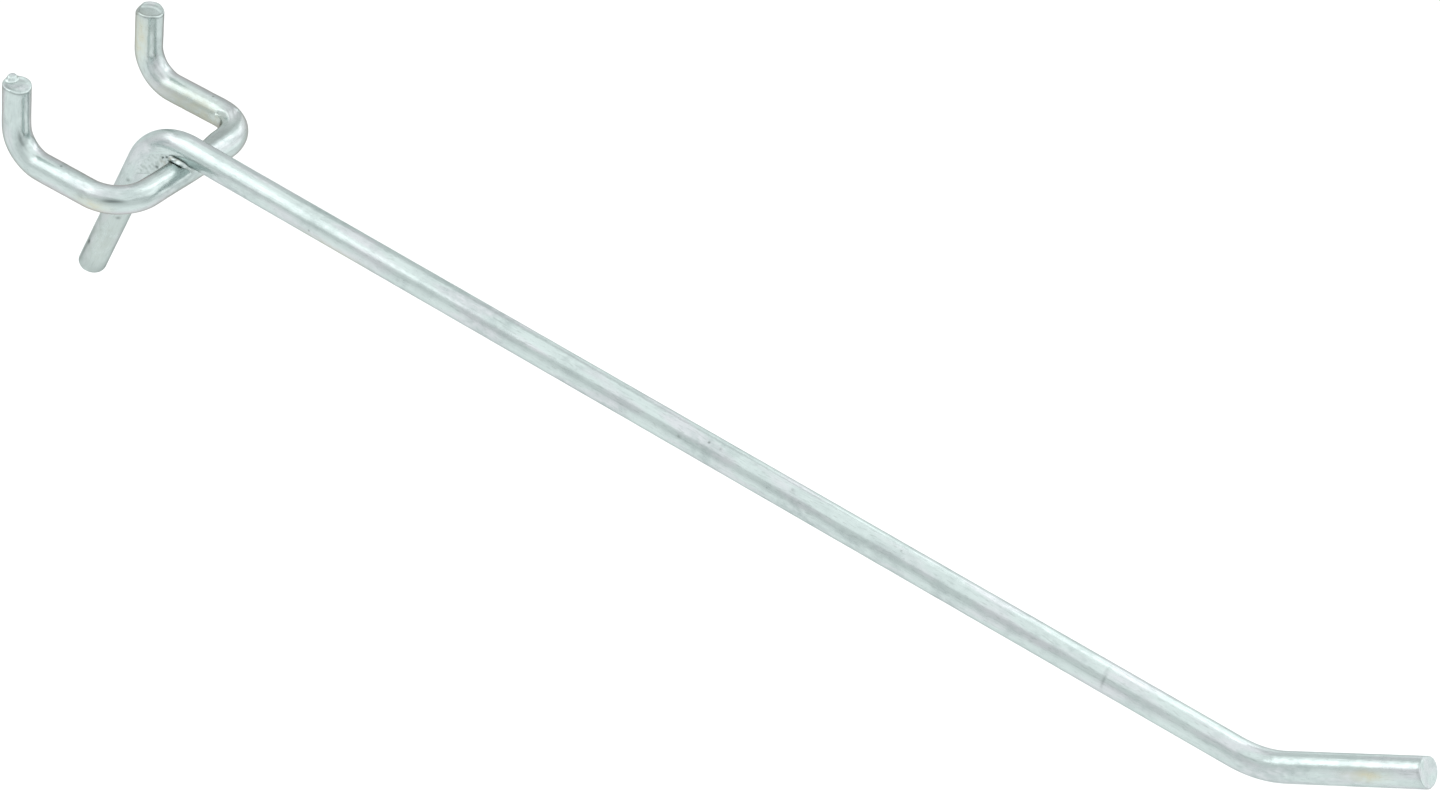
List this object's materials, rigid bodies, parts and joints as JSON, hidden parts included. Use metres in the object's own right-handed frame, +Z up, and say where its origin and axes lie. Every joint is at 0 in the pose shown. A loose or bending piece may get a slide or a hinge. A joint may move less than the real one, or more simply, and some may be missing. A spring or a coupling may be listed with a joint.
{
  "type": "pegboard hook",
  "caption": "Long wire pegboard hook: upturned prongs grip behind the board, a leg bears on its face, and a straight arm with a raised tip carries goods.",
  "frame": {"origin": "on the front face of the pegboard, midway between the centres of the two peg holes that the staple goes through", "axes": "+Z up the board, -Y straight out of the board to the customer's side, +X to the right seen from the front; the hook stands in its hung position, with its arm rising a little outwards"},
  "size_m": [0.0292, 0.2022, 0.0662],
  "materials": {
    "staple_wire": "drawn wire, bright zinc plate with a clear blue passivate",
    "arm_wire": "drawn wire, bright zinc plate with a clear blue passivate",
    "weld_metal": "rough squeezed out flash under zinc plate, dark in its creases"
  },
  "bodies": {
    "root": {"mounting_staple": "staple_wire", "hook_arm": "arm_wire", "weld": "weld_metal"}
  },
  "joints": []
}
